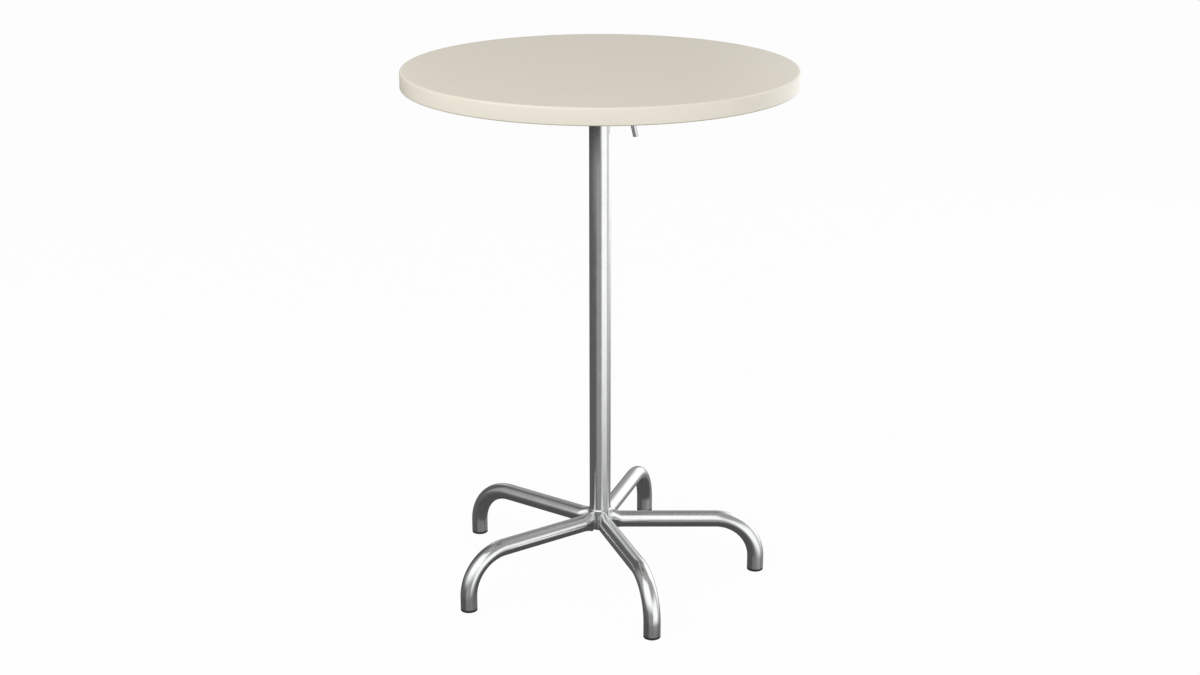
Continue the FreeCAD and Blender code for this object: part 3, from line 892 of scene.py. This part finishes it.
@dataclass
class StarLeg(Assembly):
    """Bent tube of the star base, with its glide and the seam that joins it to the hub."""

    name: str
    turn: float
    diameter: float = 0.035
    wall: float = 0.002
    end_height: float = 0.042
    end_width: float = 0.0232
    press_length: float = 0.024
    bend_radius: float = 0.088
    end_gap: float = 0.0001
    foot_rounding: float = 0.0004
    drop_shares: tuple[float, ...] = (0.5, 1.0)
    place_shift: float = 0.01
    around: int = 72
    press_steps: int = 14
    straight_steps: int = 10
    bend_steps: int = 44
    seam: WeldSeam = WeldSeam(radius=0.0019, ripple_depth=0.04, wander=0.02)

    def __post_init__(self) -> None:
        """Work out the leg's places from the frame, for the leg that points along +X."""
        low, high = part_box("leg_right")
        self.radius = self.diameter / 2
        self.foot_radius = high.x - self.radius
        self.axis_height = high.z - self.end_height / 2
        self.foot_height = low.z
        self.hub_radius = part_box("base_hub")[1].x
        self.turned = Matrix.Rotation(math.radians(self.turn), 4, "Z")

    def stations(self) -> list[Station]:
        """Sections along the leg.

        Returns:
            The sections, from the hub to the foot.
        """
        found = []
        up = Vector((0, 0, 1))
        radius = self.radius
        for k in range(self.press_steps + 1):
            share = k / self.press_steps
            change = share * share * (3 - 2 * share)
            half_height = self.end_height / 2 + (radius - self.end_height / 2) * change
            half_width = self.end_width / 2 + (radius - self.end_width / 2) * change
            run = self.press_length * share
            centre = Vector((self.hub_radius + run, 0, self.axis_height))
            found.append(Station(centre, up, half_height, half_width, run))
        start, end = self.hub_radius + self.press_length, self.foot_radius - self.bend_radius
        for k in range(1, self.straight_steps + 1):
            x = start + (end - start) * k / self.straight_steps
            centre = Vector((x, 0, self.axis_height))
            found.append(Station(centre, up, radius, radius, x - self.hub_radius))
        centre = Vector((end, 0, self.axis_height - self.bend_radius))
        for k in range(1, self.bend_steps + 1):
            turn = math.pi / 2 * k / self.bend_steps
            out = Vector((math.sin(turn), 0, math.cos(turn)))
            run = end - self.hub_radius + self.bend_radius * turn
            found.append(Station(centre + out * self.bend_radius, out, radius, radius, run))
        last_run = found[-1].run
        for share in self.drop_shares:
            drop = (centre.z - self.foot_height) * share
            place = Vector((self.foot_radius, 0, centre.z - drop))
            found.append(Station(place, Vector((1, 0, 0)), radius, radius, last_run + drop))
        return found

    def ring(self, station: Station, inset: float, coped: bool) -> tuple[list[Vector], list[Vector]]:
        """Ring of the tube at a station.

        Args:
            station: Section of the leg.
            inset: How far the ring lies inside the outer surface.
            coped: Whether the ring lies on the hub's surface.

        Returns:
            Points of the ring, and their places on the unrolled tube.
        """
        points, places = [], []
        along = station.run + self.turn * self.place_shift
        for j in range(self.around):
            turn = 2 * math.pi * j / self.around
            high = (station.half_height - inset) * math.cos(turn)
            wide = (station.half_width - inset) * math.sin(turn)
            point = station.centre + station.up * high + Vector((0, wide, 0))
            if coped:
                point.x = math.sqrt((self.hub_radius + self.end_gap) ** 2 - wide ** 2)
            points.append(self.turned @ point)
            places.append(Vector((self.radius * math.cos(turn), self.radius * math.sin(turn), along)))
        return points, places

    def build(self) -> None:
        """Bend the tube and weld it to the hub."""
        stations = self.stations()
        foot = stations[-1]
        edge = foot._replace(centre=foot.centre + Vector((0, 0, self.foot_rounding)))
        sequence = [(s, 0.0, k == 0) for k, s in enumerate(stations[:-1])]
        sequence += [(edge, 0.0, False), (foot, self.foot_rounding, False), (foot, self.wall, False)]
        sequence += [(s, self.wall, k == 0) for k, s in reversed(list(enumerate(stations[:-1])))]
        rings = [self.ring(*step) for step in sequence]
        tube = woven([r[0] for r in rings], True, "bent_leg_" + self.name, [r[1] for r in rings])
        mount(tube, Body.STAND, Finishes.drawn_steel, "leg_" + self.name)
        around = math.pi * (self.end_height + self.end_width) / 2
        self.seam.lay("leg_" + self.name, self.corner, around, True)

    def corner(self, share: float) -> tuple[Vector, Vector]:
        """Corner between the pressed end and the hub.

        Args:
            share: Share of the way round the end.

        Returns:
            Point on the corner, and the direction away from it.
        """
        half_height, half_width = self.end_height / 2, self.end_width / 2
        turn = 2 * math.pi * share
        wide, high = half_width * math.sin(turn), half_height * math.cos(turn)
        hub_side = Vector((math.sqrt(self.hub_radius ** 2 - wide ** 2), wide, 0))
        leg_side = Vector((0, math.sin(turn) / half_width, math.cos(turn) / half_height))
        point = hub_side + Vector((0, 0, self.axis_height + high))
        return self.turned @ point, self.turned @ (hub_side.normalized() + leg_side.normalized())

    def dress(self) -> None:
        """Finish the glide."""
        coat(Finishes.glide, "glide_" + self.name)


def stage(mesh: bpy.types.Mesh, look: Callable[[Recipe], Signal], mirrored: bool,
          height: float = 0.0) -> None:
    """Set up a piece of the studio.

    Args:
        mesh: Its mesh, which has its name.
        look: Adds its shader to the tree of its material.
        mirrored: Whether only glossy rays see it, or all others.
        height: Height of its origin.
    """
    paint = bpy.data.materials.new(mesh.name + "_paint")
    recipe = Recipe(paint)
    recipe.finish("ShaderNodeOutputMaterial", look(recipe))
    mesh.materials.append(paint)
    piece = added(mesh.name, mesh)
    piece.location.z = height
    if mirrored:
        paint.cycles.emission_sampling = "NONE"
        piece.visible_camera = piece.visible_diffuse = False
        piece.visible_shadow = piece.visible_transmission = False
    else:
        piece.visible_glossy = False


@dataclass(frozen=True)
class SoftBox:
    """Patch of the light tent, bright or dark, with soft edges that lie where their blend is half done."""

    azimuth: float
    half_width: float
    bottom: float
    top: float
    level: float
    side_blend: float
    bottom_blend: float
    top_blend: float

    def cover(self, recipe: Recipe, direction: Signal, elevation: Signal) -> Signal:
        """Mask of the patch.

        Args:
            recipe: Tree of the tent's material.
            direction: Direction of a point of the tent from its centre.
            elevation: Elevation of that direction.

        Returns:
            1 on the patch and 0 away from it.
        """
        mask = self.edge(recipe.away_from(self.azimuth, direction), self.half_width, -self.side_blend)
        mask = mask * self.edge(elevation, self.bottom, self.bottom_blend)
        return mask * self.edge(elevation, self.top, -self.top_blend)

    @staticmethod
    def edge(angle: Signal, place: float, blend: float) -> Signal:
        """Soft step of an angle in radians, up from 0 to 1, or down if its blend is below 0."""
        low, high = math.radians(place - abs(blend)), math.radians(place + abs(blend))
        return angle.smooth(low, high) if blend > 0 else angle.smooth(low, high, 1.0, 0.0)


@dataclass(frozen=True)
class Lamp:
    """Soft area lamp that lights the table from a direction."""

    name: str
    azimuth: float
    elevation: float
    width: float
    height: float
    distance: float
    brightness: float
    colour: Colour = (1.0, 1.0, 1.0)

    def hang(self, target: Vector) -> None:
        """Put the lamp in its place.

        Args:
            target: Point that it faces.
        """
        turn, rise = math.radians(self.azimuth), math.radians(self.elevation)
        away = Vector((math.sin(turn) * math.cos(rise), -math.cos(turn) * math.cos(rise), math.sin(rise)))
        light = bpy.data.lights.new(self.name, "AREA")
        light.shape = "RECTANGLE"
        light.size, light.size_y = self.width, self.height
        light.energy = self.brightness * math.pi * self.width * self.height
        light.color = self.colour
        lamp = added(self.name, light)
        lamp.location = target + away * self.distance
        lamp.rotation_euler = away.to_track_quat("Z", "Y").to_euler()
        lamp.visible_camera = lamp.visible_glossy = False
        log.info("%s hung", self.name)


@dataclass(frozen=True)
class DarkCard:
    """Curved dark card that only the metal mirrors: it stands for the shade under the top."""

    name: str = "dark_card"
    azimuth: float = -81.4
    half_width: float = 83.5
    side_blend: float = 5.8
    radius: float = 0.5
    bottom: float = 0.77
    top: float = 1.05
    bottom_fade: float = 0.12
    top_fade: float = 0.06
    level: float = 0.07
    steps: int = 48

    def hang(self) -> None:
        """Bend the card and hang it round the column, under the top."""
        points = []
        reach = self.half_width + self.side_blend
        for k in range(self.steps + 1):
            turn = math.radians(self.azimuth + reach * (2 * k / self.steps - 1))
            x, y = self.radius * math.sin(turn), -self.radius * math.cos(turn)
            points += [(x, y, self.bottom), (x, y, self.top)]
        faces = [(2 * k, 2 * k + 2, 2 * k + 3, 2 * k + 1) for k in range(self.steps)]
        mesh = bpy.data.meshes.new(self.name)
        mesh.from_pydata(points, [], faces)
        stage(mesh, self.look, True)

    def look(self, recipe: Recipe) -> Signal:
        """Dim glow that fades out at the edges.

        Args:
            recipe: Tree of the card's material.

        Returns:
            The shader.
        """
        place = recipe.place(Place.OBJECT)
        height = recipe.height_of(place)
        cover = SoftBox.edge(recipe.away_from(self.azimuth, place), self.half_width, -self.side_blend)
        cover = cover * height.smooth(self.bottom, self.bottom + self.bottom_fade)
        cover = cover * height.smooth(self.top - self.top_fade, self.top, 1.0, 0.0)
        glow = recipe.node("ShaderNodeEmission", None, {"Strength": self.level})
        clear = recipe.node("ShaderNodeBsdfTransparent")
        return recipe.node("ShaderNodeMixShader", None, {0: cover, 1: clear, 2: glow})


@dataclass
class Studio:
    """Pale floor, light tent, lamps and camera."""

    camera_place: Triple = (-0.00684, -3.8268, 1.8079)
    camera_pitch: float = 71.541
    camera_turn: float = -0.0993
    lens: float = 57.881
    sensor: float = 36.0
    floor_half: float = 14.0
    floor_colour: Colour = (0.60, 0.64, 0.67)
    floor_whiteness: float = 0.96
    ambient: float = 0.80
    tent_radius: float = 4.0
    tent_height: float = 0.14
    tent_fineness: int = 5
    floor_level: float = 0.095
    floor_end: tuple[float, float] = (-0.5, -0.3)
    low_wall_level: float = 0.13
    low_wall_end: tuple[float, float] = (-0.15, 0.2)
    high_wall_level: float = 0.41
    lamp_target: Triple = (0.0, 0.0, 0.6)
    patches: tuple[SoftBox, ...] = (
        SoftBox(178, 24, 34, 110, 0.27, 8, 8, 8),
        SoftBox(140, 46, -30, -14, 0.27, 10, 8, 6),
        SoftBox(-158, 8, 18, 40, 0.80, 5, 5, 5),
        SoftBox(-128, 25, -28, 58, 0.13, 8, 10, 12),
        SoftBox(85, 22, -18, 27, 0.72, 8, 12, 10),
        SoftBox(-12, 26, -26, -3, 0.36, 10, 8, 5),
        SoftBox(-25, 43, 8, 68, 1.34, 8, 17, 9),
        SoftBox(46, 30, -20, 24, 1.30, 6, 10, 13),
        SoftBox(127, 24, -10, 52, 1.45, 8, 11, 10),
        SoftBox(155, 11, -10, 28, 1.40, 9, 11, 7),
    )
    lamps: tuple[Lamp, ...] = (
        Lamp("key_lamp", -45, 42, 3.0, 2.2, 3.6, 2.45, (0.97, 1.0, 1.03)),
        Lamp("left_lamp", -100, 10, 2.0, 1.6, 3.4, 1.35),
        Lamp("front_lamp", 10, 6, 2.4, 1.6, 3.4, 1.1, (0.92, 1.0, 1.09)),
        Lamp("right_lamp", 50, 18, 2.4, 1.8, 3.4, 0.95),
        Lamp("back_lamp", 120, 12, 2.6, 2.0, 3.6, 1.6, (0.91, 1.0, 1.07)),
    )

    def white_share(self, recipe: Recipe) -> Signal:
        """Share of rays that see the plain white ground: from the camera, glossy or through glass.

        Args:
            recipe: Tree of the floor or the world.

        Returns:
            1 for such rays and 0 for others.
        """
        seen = [recipe.node("ShaderNodeLightPath", output=name)
                for name in ("Is Camera Ray", "Is Glossy Ray", "Is Transmission Ray")]
        return seen[0].greatest(seen[1]).greatest(seen[2])

    def lay_floor(self) -> None:
        """Lay the floor."""
        half = self.floor_half
        mesh = bpy.data.meshes.new("floor")
        mesh.from_pydata([(-half, -half, 0), (half, -half, 0), (half, half, 0), (-half, half, 0)], [],
                         [(0, 1, 2, 3)])
        stage(mesh, self.floor_look, False)

    def floor_look(self, recipe: Recipe) -> Signal:
        """White, but for the shadow that it keeps.

        Args:
            recipe: Tree of the floor's material.

        Returns:
            The shader.
        """
        pale = recipe.node("ShaderNodeBsdfDiffuse", None, {"Color": (*self.floor_colour, 1.0)})
        white = recipe.node("ShaderNodeEmission", None, {"Strength": 1.0})
        share = self.white_share(recipe) * self.floor_whiteness
        return recipe.node("ShaderNodeMixShader", None, {0: share, 1: pale, 2: white})

    def pitch_tent(self) -> None:
        """Pitch the tent that the metal mirrors."""
        mesh = bpy.data.meshes.new("light_tent")
        work = bmesh.new()
        bmesh.ops.create_icosphere(work, subdivisions=self.tent_fineness, radius=self.tent_radius)
        work.to_mesh(mesh)
        work.free()
        mesh.shade_smooth()
        stage(mesh, self.tent_look, True, self.tent_height)

    def tent_look(self, recipe: Recipe) -> Signal:
        """Bright and dark cloth.

        Args:
            recipe: Tree of the tent's material.

        Returns:
            The shader.
        """
        direction = recipe.node("ShaderNodeVectorMath", {"operation": "NORMALIZE"},
                                {0: recipe.place(Place.OBJECT)})
        height = recipe.height_of(direction)
        elevation = height.arcsine()
        level = height.smooth(*self.floor_end, self.floor_level, self.low_wall_level)
        level = level + height.smooth(*self.low_wall_end, 0.0, self.high_wall_level - self.low_wall_level)
        for patch in self.patches:
            level = level + (patch.level - level) * patch.cover(recipe, direction, elevation)
        return recipe.node("ShaderNodeEmission", None, {"Color": level})

    def light_world(self) -> None:
        """Soft light from all round, with plain white behind the table."""
        world = bpy.data.worlds.new("studio")
        bpy.context.scene.world = world
        recipe = Recipe(world)
        strength = self.ambient + (1.0 - self.ambient) * self.white_share(recipe)
        white = recipe.node("ShaderNodeBackground", None,
                            {"Color": (1.0, 1.0, 1.0, 1.0), "Strength": strength})
        recipe.finish("ShaderNodeOutputWorld", white)
        world.cycles.sampling_method = "NONE"

    def set_camera(self) -> None:
        """Put the camera where the photograph was taken from."""
        data = bpy.data.cameras.new("camera")
        data.lens, data.sensor_width = self.lens, self.sensor
        camera = added("camera", data)
        camera.location = self.camera_place
        turns = (self.camera_pitch, 0.0, self.camera_turn)
        camera.rotation_euler = Euler([math.radians(turn) for turn in turns])
        bpy.context.scene.camera = camera

    def build(self) -> None:
        """Set the whole studio."""
        bpy.context.scene.view_settings.view_transform = "Standard"
        self.set_camera()
        self.light_world()
        self.lay_floor()
        self.pitch_tent()
        DarkCard().hang()
        for lamp in self.lamps:
            lamp.hang(Vector(self.lamp_target))


def main() -> None:
    """Build the table and the studio, and report each piece."""
    logging.basicConfig(level=logging.INFO, format="%(message)s")
    Studio().build()
    assemblies: list[Assembly] = [TableTop(), TiltFitting(), Clamp(), HandLever(), ColumnHead(), Column(),
                                  BaseHub()]
    assemblies += [StarLeg(name, 360.0 * LEGS.index(name) / len(LEGS)) for name in sorted(LEGS)]
    for assembly in assemblies:
        assembly.build()
        assembly.dress()


if __name__ == "__main__":
    main()
